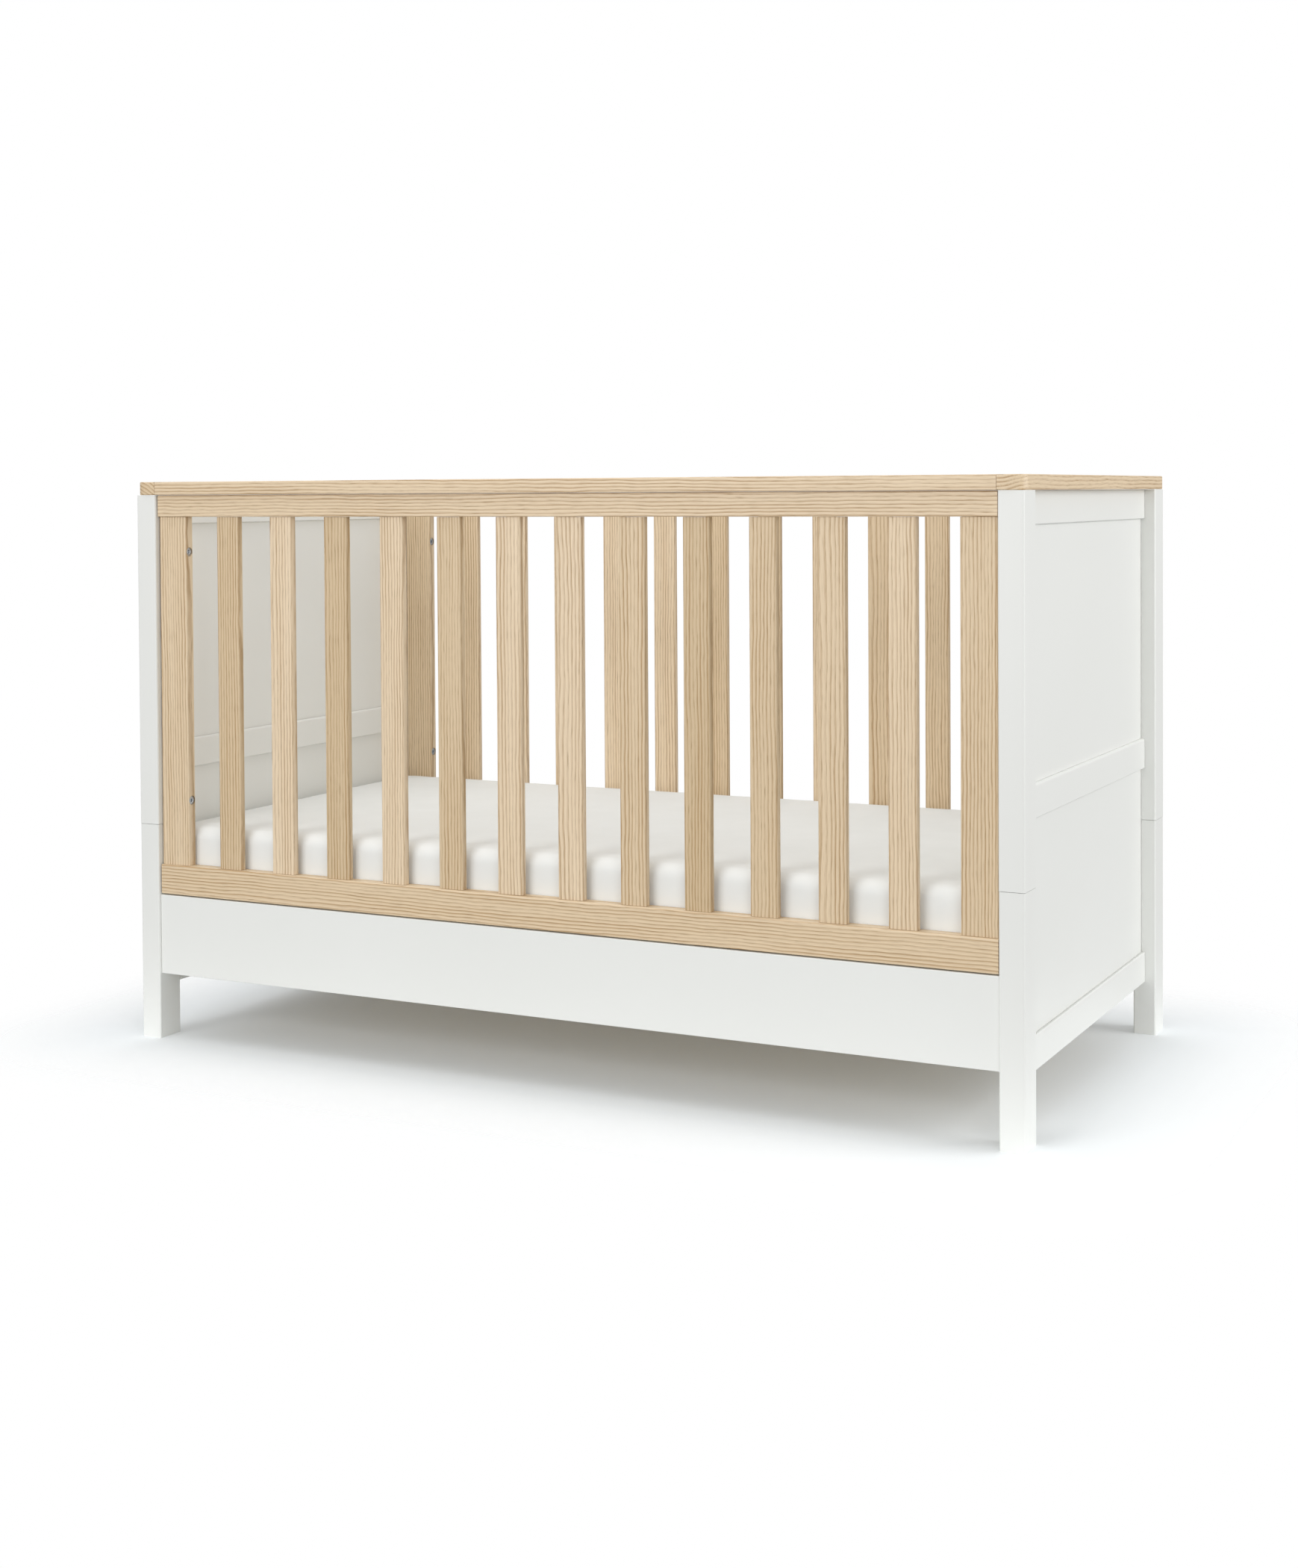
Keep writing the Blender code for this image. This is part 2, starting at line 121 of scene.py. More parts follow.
def white_satin_lacquer():
    """Sprayed and rubbed lacquer: an even warm white, a soft sheen and a faint flow in the film."""
    material, tree = new_material("white_satin_lacquer")
    place = add_node(tree, "ShaderNodeTexCoord").outputs["Object"]
    coats = add_node(
        tree, "ShaderNodeTexNoise", {"Vector": place, "Scale": 1 / COAT_DRIFT, "Detail": 3}
    )
    tint = add_node(
        tree,
        "ShaderNodeMix",
        {"Factor": coats.outputs["Fac"], "A": linear(PAINT_SHADE), "B": linear(PAINT_WHITE)},
        data_type="RGBA",
    )
    flow = add_node(
        tree, "ShaderNodeTexNoise", {"Vector": place, "Scale": 1 / FILM_WAVE, "Detail": 2}
    )
    sheen = add_node(
        tree, "ShaderNodeMapRange", {"Value": flow.outputs["Fac"], "To Min": 0.34, "To Max": 0.44}
    )
    height = {"Height": flow.outputs["Fac"], "Strength": 0.06, "Distance": 0.0004}
    film = add_node(tree, "ShaderNodeBump", height)
    shader = add_node(
        tree,
        "ShaderNodeBsdfPrincipled",
        {
            "Base Color": tint.outputs["Result"],
            "Roughness": sheen.outputs["Result"],
            "Normal": film.outputs["Normal"],
            "IOR": 1.48,
        },
    )
    add_node(tree, "ShaderNodeOutputMaterial", {"Surface": shader.outputs["BSDF"]})
    return material


def settled(piece):
    """Swap a piece's modifiers for the plain mesh that they make."""
    graph = bpy.context.evaluated_depsgraph_get()
    mesh = bpy.data.meshes.new_from_object(piece.evaluated_get(graph))
    piece.modifiers.clear()
    piece.data = mesh
    mesh.name = piece.name
    return piece


def smooth(piece):
    """Shade a piece round where its faces meet softly."""
    piece.data.shade_smooth()
    piece.data.set_sharp_from_angle(angle=SOFT_ANGLE)
    return piece


def new_piece(name, shape, material):
    """A smooth object at the origin, from a bmesh."""
    mesh = bpy.data.meshes.new(name)
    shape.to_mesh(mesh)
    shape.free()
    mesh.materials.append(material)
    piece = bpy.data.objects.new(name, mesh)
    bpy.context.scene.collection.objects.link(piece)
    return smooth(piece)


def finished(node, material):
    """The finished surface of a cut piece: its faces welded and its eased edges shaded round."""
    shape = bmesh.new()
    shape.from_mesh(NODES[node].data)
    bmesh.ops.remove_doubles(shape, verts=shape.verts, dist=1e-6)
    bmesh.ops.dissolve_limit(
        shape, angle_limit=math.radians(0.2), verts=shape.verts, edges=shape.edges
    )
    piece = new_piece(node + "_finished", shape, material)
    even = piece.modifiers.new("even_faces", "WEIGHTED_NORMAL")
    even.keep_sharp = True
    settled(piece)
    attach(piece, NODES[node]["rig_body"])
    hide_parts(node)
    return piece


ENDS = ("left", "right")
SIDES = ("front", "rear")
LACQUER = white_satin_lacquer()
for end in ENDS:
    finished(f"end_bottom_rail_{end}", LACQUER)
    finished(f"lower_panel_{end}", LACQUER)
    for side in SIDES:
        finished(f"leg_{side}_{end}", LACQUER)
for side in SIDES:
    finished(f"lower_side_rail_{side}", LACQUER)


# ---- Upper ends --------------------------------------------------------------------------------
# A post at each corner, with a middle and a top rail and a thin panel between them at each end.
# The same lacquered beech and MDF; the whole end lifts off its legs when the side bolts are out.

for end in ENDS:
    for part in ("end_middle_rail", "end_top_rail", "upper_panel"):
        finished(f"{part}_{end}", LACQUER)
    for side in SIDES:
        finished(f"upper_post_{side}_{end}", LACQUER)


# ---- Side frames -------------------------------------------------------------------------------
# The rails and stiles of the two slatted sides: solid ash, planed, with eased edges and a clear
# matt lacquer. Ash is ring-porous, so each year shows as a thin line of darker open pores.

ASH_PALE = "#ead5b6"
ASH_RING = "#bb9b74"
ASH_PORE = "#957853"
ASH_RING_GAP = 0.0051  # ash grows about 2 to 4 mm a year, drawn wider here so that it shows
RING_WANDER = 0.009  # how far a ring strays from round over a board
RING_RIPPLE = 0.002  # and over a few centimetres
PORE_LENGTH = 0.022
PORE_WIDTH = 0.0011  # a real pore is about 0.3 mm wide; drawn wider so that it shows
WAVE_PERIOD = math.pi / 10  # of a wave texture at scale 1


def wood(name, pale, ring, pore, ring_gap, roughness, pore_share=0.6):
    """Lacquered wood that reads grain, a place in the log, and tone, how dark the board is."""
    material, tree = new_material(name)
    place = add_node(tree, "ShaderNodeAttribute", attribute_name="grain").outputs["Vector"]
    tone = add_node(tree, "ShaderNodeAttribute", attribute_name="tone").outputs["Fac"]

    def streaks(along, across, detail):
        """Noise drawn out along the grain, with its sizes along and across in metres."""
        scale = (1 / along, 1 / across, 1 / across)
        spread = add_node(
            tree, "ShaderNodeVectorMath", {0: place, 1: scale}, operation="MULTIPLY"
        )
        return add_node(
            tree,
            "ShaderNodeTexNoise",
            {"Vector": spread.outputs["Vector"], "Scale": 1, "Detail": detail},
        )

    wander = streaks(0.25, 0.05, 1)
    bent = add_node(
        tree,
        "ShaderNodeVectorMath",
        {0: wander.outputs["Color"], 1: (0, RING_WANDER, RING_WANDER), 2: place},
        operation="MULTIPLY_ADD",
    )
    ripple = streaks(0.035, 0.02, 0)
    rippled = add_node(
        tree,
        "ShaderNodeVectorMath",
        {0: ripple.outputs["Color"], 1: (0, RING_RIPPLE, RING_RIPPLE), 2: bent.outputs["Vector"]},
        operation="MULTIPLY_ADD",
    )
    rings = add_node(
        tree,
        "ShaderNodeTexWave",
        {"Vector": rippled.outputs["Vector"], "Scale": WAVE_PERIOD / ring_gap},
        wave_type="RINGS",
        rings_direction="X",
        wave_profile="SAW",
    )
    # A year's wood darkens slowly, then quickly, to the ring of pores.
    year = add_node(tree, "ShaderNodeValToRGB", {"Fac": rings.outputs["Fac"]})
    stops = year.color_ramp.elements
    stops[0].position, stops[0].color = 0.0, (0, 0, 0, 1)
    stops[1].position, stops[1].color = 0.82, (1, 1, 1, 1)
    stops.new(0.45).color = (0.12, 0.12, 0.12, 1)
    stops.new(0.97).color = (0.75, 0.75, 0.75, 1)
    pores = streaks(PORE_LENGTH, PORE_WIDTH, 2)
    open_pores = add_node(
        tree,
        "ShaderNodeMapRange",
        {"Value": pores.outputs["Fac"], "From Min": 0.50, "From Max": 0.68},
    )
    patches = streaks(0.35, 0.012, 2)
    strength = add_node(
        tree,
        "ShaderNodeMapRange",
        {
            "Value": patches.outputs["Fac"],
            "From Min": 0.35,
            "From Max": 0.65,
            "To Min": 0.35,
            "To Max": 1.0,
        },
    )
    year_share = add_node(
        tree,
        "ShaderNodeMath",
        {0: year.outputs["Color"], 1: strength.outputs["Result"]},
        operation="MULTIPLY",
    )
    ringed = add_node(
        tree,
        "ShaderNodeMix",
        {"Factor": year_share.outputs["Value"], "A": linear(pale), "B": linear(ring)},
        data_type="RGBA",
    )
    pore_mask = add_node(
        tree,
        "ShaderNodeMath",
        {0: year.outputs["Color"], 1: 0.65, 2: 0.22},
        operation="MULTIPLY_ADD",
    )
    pore_amount = add_node(
        tree,
        "ShaderNodeMath",
        {0: open_pores.outputs["Result"], 1: pore_mask.outputs["Value"]},
        operation="MULTIPLY",
    )
    pore_tint = add_node(
        tree,
        "ShaderNodeMath",
        {0: pore_amount.outputs["Value"], 1: pore_share},
        operation="MULTIPLY",
    )
    pored = add_node(
        tree,
        "ShaderNodeMix",
        {"Factor": pore_tint.outputs["Value"], "A": ringed.outputs["Result"], "B": linear(pore)},
        data_type="RGBA",
    )
    shade = add_node(
        tree, "ShaderNodeMapRange", {"Value": tone, "To Min": 1.08, "To Max": 0.82}
    )
    warmth = add_node(
        tree, "ShaderNodeMapRange", {"Value": tone, "To Min": 0.94, "To Max": 1.2}
    )
    toned = add_node(
        tree,
        "ShaderNodeHueSaturation",
        {
            "Color": pored.outputs["Result"],
            "Saturation": warmth.outputs["Result"],
            "Value": shade.outputs["Result"],
        },
    )
    gloss = add_node(
        tree,
        "ShaderNodeMapRange",
        {
            "Value": pore_amount.outputs["Value"],
            "To Min": roughness,
            "To Max": roughness + 0.2,
        },
    )
    relief = add_node(
        tree,
        "ShaderNodeBump",
        {"Height": pore_amount.outputs["Value"], "Strength": 0.25, "Distance": 0.0002},
        invert=True,
    )
    shader = add_node(
        tree,
        "ShaderNodeBsdfPrincipled",
        {
            "Base Color": toned.outputs["Color"],
            "Roughness": gloss.outputs["Result"],
            "Normal": relief.outputs["Normal"],
            "IOR": 1.5,
        },
    )
    add_node(tree, "ShaderNodeOutputMaterial", {"Surface": shader.outputs["BSDF"]})
    return material


LOG = random.Random(3)
LENGTHWAYS = {"x": (0, 2, 1), "y": (1, 2, 0), "z": (2, 0, 1)}


def saw_from_log(piece, along, most_lean=0.005, off_pith=(0.05, 0.11)):
    """Store where each point of a board lies in its log, along the grain and out from the pith."""
    mesh = piece.data
    order = LENGTHWAYS[along]
    middle = sum((Vector(v.co) for v in mesh.vertices), Vector()) / len(mesh.vertices)
    start = Vector((LOG.uniform(-9, 9), LOG.choice((-1, 1)) * LOG.uniform(*off_pith), 0.02))
    lean = Vector((0, LOG.uniform(-most_lean, most_lean), LOG.uniform(-most_lean, most_lean)))
    in_log = []
    for vertex in mesh.vertices:
        local = vertex.co - middle
        own = Vector([local[axis] for axis in order])
        in_log.extend(start + own + lean * own.x)
    mesh.attributes.new("grain", "FLOAT_VECTOR", "POINT").data.foreach_set("vector", in_log)
    tones = [LOG.uniform(0.3, 0.6)] * len(mesh.vertices)
    mesh.attributes.new("tone", "FLOAT", "POINT").data.foreach_set("value", tones)
    return piece


ASH = wood("clear_lacquered_ash", ASH_PALE, ASH_RING, ASH_PORE, ASH_RING_GAP, 0.42)
for side in SIDES:
    saw_from_log(finished(f"side_top_rail_{side}", ASH), "x")
    saw_from_log(finished(f"side_bottom_rail_{side}", ASH), "x")
    for end in ENDS:
        saw_from_log(finished(f"stile_{side}_{end}", ASH), "z")


# ---- Slats -------------------------------------------------------------------------------------
# Twelve flat ash slats in each side, planed with rounded edges and glued into the rails.
# Each is cut from its own place in the log, so some show straight lines and some arched figure.


def tree_with(name, sizes):
    """A geometry tree with these named inputs, and its input node's outputs."""
    tree = bpy.data.node_groups.new(name, "GeometryNodeTree")
    kinds = {
        "NodeSocketInt": int,
        "NodeSocketFloat": float,
        "NodeSocketVector": tuple,
        "NodeSocketMaterial": bpy.types.Material,
    }
    tree.interface.new_socket("Geometry", in_out="INPUT", socket_type="NodeSocketGeometry")
    for size, value in sizes.items():
        kind = next(kind for kind, of_type in kinds.items() if isinstance(value, of_type))
        tree.interface.new_socket(size, in_out="INPUT", socket_type=kind)
    tree.interface.new_socket("Geometry", in_out="OUTPUT", socket_type="NodeSocketGeometry")
    return tree, add_node(tree, "NodeGroupInput").outputs


def close_tree(tree, geometry, material):
    """End a tree with Realize Instances, then Set Material."""
    real = add_node(tree, "GeometryNodeRealizeInstances", {"Geometry": geometry})
    dressed = add_node(
        tree,
        "GeometryNodeSetMaterial",
        {"Geometry": real.outputs["Geometry"], "Material": material},
    )
    return dressed.outputs["Geometry"]


def grow(name, tree, sizes, start=None):
    """The plain mesh that a tree makes with these sizes, from a start mesh if it needs one."""
    piece = bpy.data.objects.new(name, start or bpy.data.meshes.new(name))
    bpy.context.scene.collection.objects.link(piece)
    modifier = piece.modifiers.new("grow", "NODES")
    modifier.node_group = tree
    for item in tree.interface.items_tree:
        if item.in_out == "INPUT" and item.name in sizes:
            modifier[item.identifier] = sizes[item.name]
    return settled(piece)


def row_of_bars(sizes):
    """Rows of equal bars with rounded edges, each with its own grain and tone."""
    tree, given = tree_with("row_of_bars", sizes)
    outline = add_node(
        tree,
        "GeometryNodeCurvePrimitiveQuadrilateral",
        {"Width": given["Width"], "Height": given["Depth"]},
    )
    eased = add_node(
        tree,
        "GeometryNodeFilletCurve",
        {"Curve": outline.outputs["Curve"], "Count": 5, "Radius": given["Rounding"]},
        mode="POLY",
    )
    tip = add_node(tree, "ShaderNodeCombineXYZ", {"Z": given["Length"]})
    line = add_node(tree, "GeometryNodeCurvePrimitiveLine", {"End": tip.outputs["Vector"]})
    bar = add_node(
        tree,
        "GeometryNodeCurveToMesh",
        {"Curve": line.outputs["Curve"], "Profile Curve": eased.outputs["Curve"], "Fill Caps": True},
    )
    here = add_node(tree, "GeometryNodeInputPosition").outputs["Position"]
    parts = add_node(tree, "ShaderNodeSeparateXYZ", {"Vector": here}).outputs
    own = add_node(tree, "ShaderNodeCombineXYZ", {"X": parts["Z"], "Y": parts["X"], "Z": parts["Y"]})
    marked = add_node(
        tree,
        "GeometryNodeStoreNamedAttribute",
        {"Geometry": bar.outputs["Mesh"], "Name": "grain", "Value": own.outputs["Vector"]},
        data_type="FLOAT_VECTOR",
        domain="POINT",
    )
    pitch = add_node(tree, "ShaderNodeCombineXYZ", {"X": given["Pitch"]})
    row = add_node(
        tree,
        "GeometryNodeMeshLine",
        {"Count": given["Count"], "Start Location": given["Start"], "Offset": pitch.outputs["Vector"]},
    )
    gap = add_node(tree, "ShaderNodeCombineXYZ", {"Y": given["Row gap"]})
    rows = add_node(
        tree, "GeometryNodeMeshLine", {"Count": given["Rows"], "Offset": gap.outputs["Vector"]}
    )
    all_rows = add_node(
        tree,
        "GeometryNodeInstanceOnPoints",
        {"Points": rows.outputs["Mesh"], "Instance": row.outputs["Mesh"]},
    )
    points = add_node(
        tree, "GeometryNodeRealizeInstances", {"Geometry": all_rows.outputs["Instances"]}
    )
    bars = add_node(
        tree,
        "GeometryNodeInstanceOnPoints",
        {
            "Points": points.outputs["Geometry"],
            "Instance": marked.outputs["Geometry"],
            "Rotation": given["Turn"],
        },
    )
    from_log = add_node(
        tree,
        "FunctionNodeRandomValue",
        {"Min": (-9, 0.022, 0.012), "Max": (9, 0.11, 0.05), "Seed": given["Seed"]},
        data_type="FLOAT_VECTOR",
    )
    placed = add_node(
        tree,
        "GeometryNodeStoreNamedAttribute",
        {
            "Geometry": bars.outputs["Instances"],
            "Name": "log_place",
            "Value": from_log.outputs["Value"],
        },
        data_type="FLOAT_VECTOR",
        domain="INSTANCE",
    )
    depth_of_tone = add_node(tree, "FunctionNodeRandomValue", {"Seed": given["Seed"]})
    toned = add_node(
        tree,
        "GeometryNodeStoreNamedAttribute",
        {
            "Geometry": placed.outputs["Geometry"],
            "Name": "tone",
            "Value": depth_of_tone.outputs[1],
        },
        domain="INSTANCE",
    )
    real = add_node(
        tree, "GeometryNodeRealizeInstances", {"Geometry": toned.outputs["Geometry"]}
    )
    stored = add_node(
        tree, "GeometryNodeInputNamedAttribute", {"Name": "grain"}, data_type="FLOAT_VECTOR"
    )
    place = add_node(
        tree, "GeometryNodeInputNamedAttribute", {"Name": "log_place"}, data_type="FLOAT_VECTOR"
    )
    in_log = add_node(
        tree,
        "ShaderNodeVectorMath",
        {0: stored.outputs["Attribute"], 1: place.outputs["Attribute"]},
        operation="ADD",
    )
    sawn = add_node(
        tree,
        "GeometryNodeStoreNamedAttribute",
        {
            "Geometry": real.outputs["Geometry"],
            "Name": "grain",
            "Value": in_log.outputs["Vector"],
        },
        data_type="FLOAT_VECTOR",
        domain="POINT",
    )
    end = close_tree(tree, sawn.outputs["Geometry"], given["Material"])
    add_node(tree, "NodeGroupOutput", {"Geometry": end})
    return tree


SLAT_NODES = [f"slat_{side}_{number}" for side in SIDES for number in range(1, 13)]
first_low, first_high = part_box("slat_front_1")
second_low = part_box("slat_front_2")[0]
rear_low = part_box("slat_rear_1")[0]
rail_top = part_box("side_bottom_rail_front")[1].z
rail_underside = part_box("side_top_rail_front")[0].z
SLAT_FIT = 0.0004  # the hairline between a slat and its rails
slat_sizes = {
    "Count": 12,
    "Pitch": second_low.x - first_low.x,
    "Rows": 2,
    "Row gap": rear_low.y - first_low.y,
    "Width": first_high.x - first_low.x,
    "Depth": first_high.y - first_low.y,
    "Rounding": 0.003,
    "Length": rail_underside - rail_top - 2 * SLAT_FIT,
    "Start": (
        (first_low.x + first_high.x) / 2,
        (first_low.y + first_high.y) / 2,
        rail_top + SLAT_FIT,
    ),
    "Turn": (0.0, 0.0, 0.0),
    "Seed": 4,
    "Material": ASH,
}
BARS = row_of_bars(slat_sizes)
slats = smooth(grow("side_slats", BARS, slat_sizes))
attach(slats, "upper_cage")
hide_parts(*SLAT_NODES)


# ---- Caps --------------------------------------------------------------------------------------
# Solid ash lipping over the posts and the sides: four flat lengths butted at the posts, with the
# two outer corners of each end rounded in plan and every edge eased.

for end in ENDS:
    saw_from_log(finished(f"end_cap_{end}", ASH), "y")
for side in SIDES:
    saw_from_log(finished(f"side_cap_{side}", ASH), "x")


# ---- Side bolts --------------------------------------------------------------------------------
# Eight zinc-plated connector bolts, two through each stile into a barrel nut in its post.
# Each has a flat head with a hexagon socket, sunk in a round recess in the stile's inner edge.

BOLT_HEAD_RADIUS = 0.0068
BOLT_HEAD_HEIGHT = 0.0042
BOLT_FACE_DOWN = 0.0013  # the head's face below the wood
HEXAGON_APOTHEM = 0.0025
SOCKET_DEPTH = 0.003
BOLT_SHANK_RADIUS = 0.0031
BOLT_LENGTH = 0.072
BOLT_CHAMFER = 0.0005
BOLT_HEIGHTS = (0.3875, 0.7875)
ZINC_GRAIN = 1 / 900  # in metres, coarser than the real grain so that it shows
ROUND_STEPS = 48


def turned(rings, shape=None, at=None):
    """A turned solid from its rings, bottom to top: each is a radius or a rule for it, and a height.

    A rule takes the angle, so a ring can follow a hexagon or a flute. A radius of 0 is a pole.
    """
    shape = shape or bmesh.new()
    at = at or Matrix.Identity(4)
    loops = []
    for radius, height in rings:
        if radius == 0:
            loops.append([shape.verts.new(at @ Vector((0, 0, height)))])
            continue
        loop = []
        for step in range(ROUND_STEPS):
            angle = math.tau * step / ROUND_STEPS
            reach = radius(angle) if callable(radius) else radius
            spot = Vector((reach * math.cos(angle), reach * math.sin(angle), height))
            loop.append(shape.verts.new(at @ spot))
        loops.append(loop)
    for below, above in zip(loops, loops[1:]):
        for step in range(ROUND_STEPS):
            after = (step + 1) % ROUND_STEPS
            if len(below) == 1:
                shape.faces.new((below[0], above[after], above[step]))
            elif len(above) == 1:
                shape.faces.new((below[step], below[after], above[0]))
            else:
                shape.faces.new((below[step], below[after], above[after], above[step]))
    return shape


def hexagon(apothem):
    """The rule for a ring that follows a hexagon."""
    third = math.pi / 3
    return lambda angle: apothem / math.cos((angle % third) - third / 2)


def bolt_rings(length):
    """A flat-headed bolt that stands on its tip, with its head's face at height 0."""
    head, chamfer = BOLT_HEAD_RADIUS, BOLT_CHAMFER
    return [
        (0, -length),
        (BOLT_SHANK_RADIUS - chamfer, -length),
        (BOLT_SHANK_RADIUS, -length + chamfer),
        (BOLT_SHANK_RADIUS, -BOLT_HEAD_HEIGHT),
        (head - chamfer, -BOLT_HEAD_HEIGHT),
        (head, -BOLT_HEAD_HEIGHT + chamfer),
        (head, -chamfer),
        (head - chamfer / 3, -chamfer / 3),
        (head - chamfer, 0),
        (hexagon(HEXAGON_APOTHEM + chamfer), 0),
        (hexagon(HEXAGON_APOTHEM), -chamfer),
        (hexagon(HEXAGON_APOTHEM), -SOCKET_DEPTH),
        (0, -SOCKET_DEPTH - chamfer),
    ]


def bright_zinc():
    """Zinc electroplate over turned steel: cool grey, half bright, with a fine brushed haze."""
    material, tree = new_material("bright_zinc_plate")
    place = add_node(tree, "ShaderNodeTexCoord").outputs["Object"]
    haze = add_node(
        tree, "ShaderNodeTexNoise", {"Vector": place, "Scale": 1 / ZINC_GRAIN, "Detail": 3}
    )
    dull = add_node(
        tree, "ShaderNodeMapRange", {"Value": haze.outputs["Fac"], "To Min": 0.22, "To Max": 0.42}
    )
    shader = add_node(
        tree,
        "ShaderNodeBsdfPrincipled",
        {
            "Base Color": linear("#c3c6c9"),
            "Metallic": 1.0,
            "Roughness": dull.outputs["Result"],
        },
    )
    add_node(tree, "ShaderNodeOutputMaterial", {"Surface": shader.outputs["BSDF"]})
    return material


def four_by_two(sizes):
    """The start mesh at four places in plan and two heights, its axis turned to the cot's middle."""
    tree, given = tree_with("four_by_two", sizes)
    plan = add_node(
        tree,
        "GeometryNodeMeshGrid",
        {
            "Size X": given["Spacing X"],
            "Size Y": given["Spacing Y"],
            "Vertices X": 2,
            "Vertices Y": 2,
        },
    )
    low = add_node(tree, "ShaderNodeCombineXYZ", {"Z": given["Low"]})
    rise = add_node(tree, "ShaderNodeCombineXYZ", {"Z": given["Rise"]})
    levels = add_node(
        tree,
        "GeometryNodeMeshLine",
        {"Count": 2, "Start Location": low.outputs["Vector"], "Offset": rise.outputs["Vector"]},
    )
    plans = add_node(
        tree,
        "GeometryNodeInstanceOnPoints",
        {"Points": levels.outputs["Mesh"], "Instance": plan.outputs["Mesh"]},
    )
    places = add_node(
        tree, "GeometryNodeRealizeInstances", {"Geometry": plans.outputs["Instances"]}
    )
    here = add_node(tree, "GeometryNodeInputPosition").outputs["Position"]
    inwards = add_node(
        tree, "ShaderNodeVectorMath", {0: here, 1: (-1, 0, 0)}, operation="MULTIPLY"
    )
    turn = add_node(
        tree,
        "FunctionNodeAlignRotationToVector",
        {"Vector": inwards.outputs["Vector"]},
        axis="Z",
    )
    copies = add_node(
        tree,
        "GeometryNodeInstanceOnPoints",
        {
            "Points": places.outputs["Geometry"],
            "Instance": given["Geometry"],
            "Rotation": turn.outputs["Rotation"],
        },
    )
    end = close_tree(tree, copies.outputs["Instances"], given["Material"])
    add_node(tree, "NodeGroupOutput", {"Geometry": end})
    return tree


ZINC = bright_zinc()
stile_low, stile_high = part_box("stile_front_left")
bolt_mesh = bpy.data.meshes.new("side_bolt")
turned(bolt_rings(BOLT_LENGTH)).to_mesh(bolt_mesh)
bolt_sizes = {
    "Spacing X": -2 * (stile_high.x - BOLT_FACE_DOWN),
    "Spacing Y": -(stile_low.y + stile_high.y),
    "Low": BOLT_HEIGHTS[0],
    "Rise": BOLT_HEIGHTS[1] - BOLT_HEIGHTS[0],
    "Material": ZINC,
}
bolts = smooth(grow("side_bolts", four_by_two(bolt_sizes), bolt_sizes, bolt_mesh))
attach(bolts, "upper_cage")


# ---- Dowels ------------------------------------------------------------------------------------
# A fluted beech dowel glued in the top of each leg. It stands up out of the leg and keeps the
# post in its place there, and the flutes let the glue rise round it.

DOWEL_RADIUS = 0.0049
DOWEL_HALF = 0.0235
DOWEL_TIP = 0.002  # the length of the pressed chamfer at each end
DOWEL_TIP_IN = 0.0015
FLUTES = 16
FLUTE_DEPTH = 0.00025
BEECH = wood("dry_beech_dowel", "#dcbd93", "#cfab7d", "#b98f61", 0.003, 0.6, pore_share=0.3)


def fluted(radius):
    """The rule for a ring with flutes pressed along the dowel."""
    return lambda angle: radius - FLUTE_DEPTH * (0.5 + 0.5 * math.cos(FLUTES * angle))


dowel_shape = bmesh.new()
dowel_rings = [
    (0, -DOWEL_HALF),
    (DOWEL_RADIUS - DOWEL_TIP_IN, -DOWEL_HALF),
    (fluted(DOWEL_RADIUS), -DOWEL_HALF + DOWEL_TIP),
    (fluted(DOWEL_RADIUS), DOWEL_HALF - DOWEL_TIP),
    (DOWEL_RADIUS - DOWEL_TIP_IN, DOWEL_HALF),
    (0, DOWEL_HALF),
]
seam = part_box("leg_front_left")[1].z
for end in ENDS:
    for side in SIDES:
        leg_low, leg_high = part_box(f"leg_{side}_{end}")
        at = Matrix.Translation(((leg_low.x + leg_high.x) / 2, (leg_low.y + leg_high.y) / 2, seam))
        turned(dowel_rings, dowel_shape, at)
dowels = saw_from_log(new_piece("leg_dowels", dowel_shape, BEECH), "z")
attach(dowels, "lower_frame")


# ---- Base --------------------------------------------------------------------------------------
# The mattress base: a rebated softwood frame with thirteen planed cross slats stapled to two
# woven tapes, which keep them apart. Left untreated, so the wood is pale and quite matt.

PINE = wood("planed_pine", "#e2cda6", "#c69f68", "#b98f5c", 0.0065, 0.55, pore_share=0.2)
saw_from_log(finished("base_frame", PINE), "x")

frame_low, frame_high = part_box("base_frame")
deck_low, deck_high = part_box("base_slat_deck")
BASE_SLATS = 13
BASE_SLAT_WIDTH = 0.060
BASE_SLAT_DEPTH = 0.0088
base_pitch = (deck_high.x - deck_low.x - BASE_SLAT_WIDTH) / (BASE_SLATS - 1)
base_slat_sizes = {
    "Count": BASE_SLATS,
    "Pitch": base_pitch,
    "Rows": 1,
    "Row gap": 0.0,
    "Width": BASE_SLAT_WIDTH,
    "Depth": BASE_SLAT_DEPTH,
    "Rounding": 0.0015,
    "Length": deck_high.y - deck_low.y,
    "Start": (
        deck_low.x + BASE_SLAT_WIDTH / 2,
        deck_high.y,
        deck_high.z - BASE_SLAT_DEPTH / 2,
    ),
    "Turn": (math.pi / 2, 0.0, 0.0),
    "Seed": 11,
    "Material": PINE,
}
base_slats = smooth(grow("base_slats", BARS, base_slat_sizes))
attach(base_slats, "mattress_base")
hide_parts("base_slat_deck")

TAPE_Y = 0.2025
TAPE_WIDTH = 0.025
TAPE_DEPTH = 0.0012
TAPE_SAG = 0.0018
TAPE_END_IN = 0.03  # from the ends of the deck
TAPE_STEPS = 8  # from one slat to the next
YARN = 0.0016


